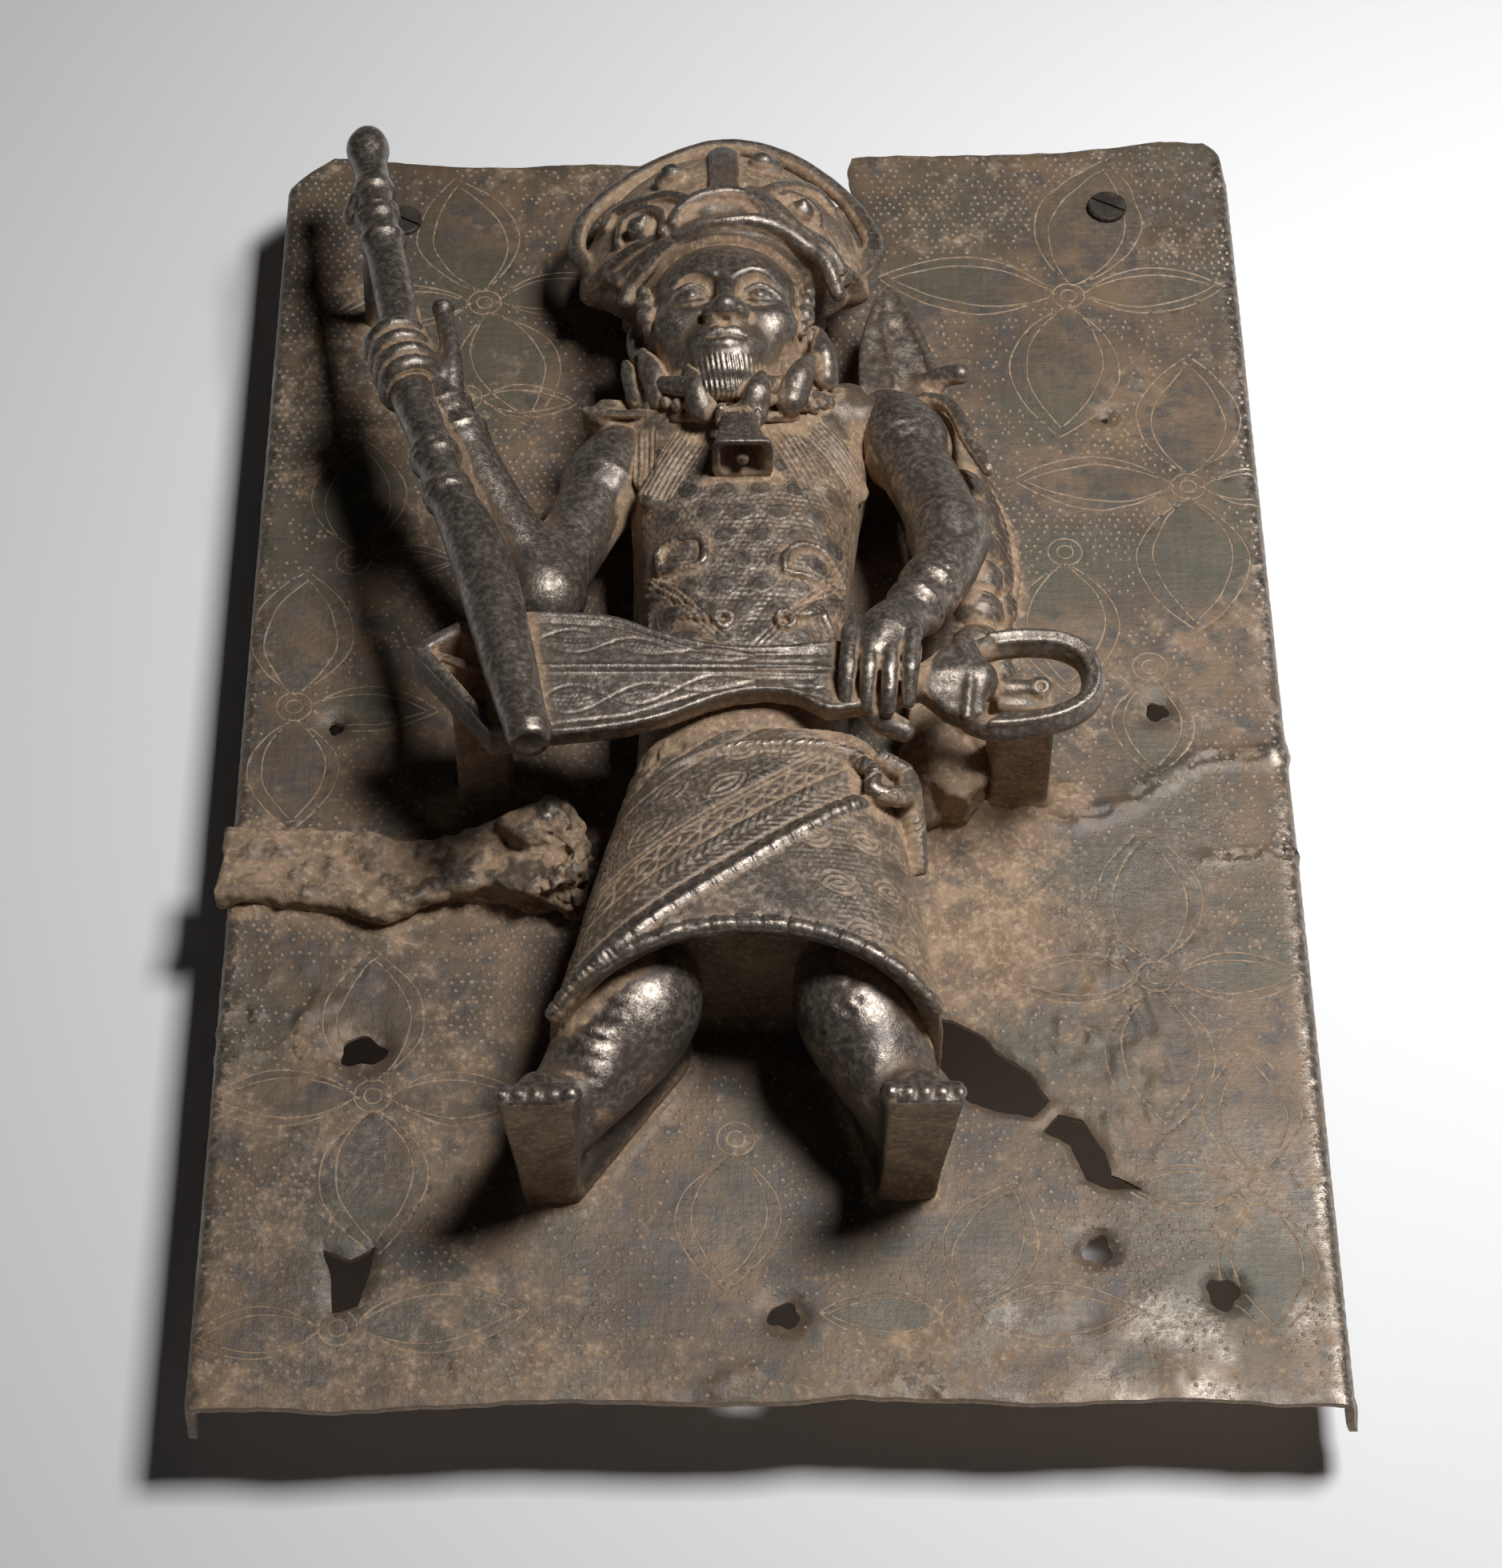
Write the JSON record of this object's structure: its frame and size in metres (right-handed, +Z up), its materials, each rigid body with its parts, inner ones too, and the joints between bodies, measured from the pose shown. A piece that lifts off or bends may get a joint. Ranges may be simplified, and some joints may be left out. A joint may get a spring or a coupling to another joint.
{
  "type": "relief plaque",
  "caption": "Rectangular cast brass wall plaque with side flanges and a court warrior in high relief, holding a club and a ring-hilted sword.",
  "frame": {"origin": "middle of the plate's flat back, which faces the wall", "axes": "+X to the viewer's right, +Z up the plaque, +Y back towards the wall, so the figure faces -Y"},
  "size_m": [0.325, 0.0975, 0.486],
  "materials": {
    "patinated_brass": "dark brown patina, worn bright on the high relief, with tan earth left in the hollows",
    "dark_steel": "dull, dark steel screw heads"
  },
  "bodies": {
    "root": {"plaque": "patinated_brass", "screw_left": "dark_steel", "screw_right": "dark_steel"}
  },
  "joints": []
}
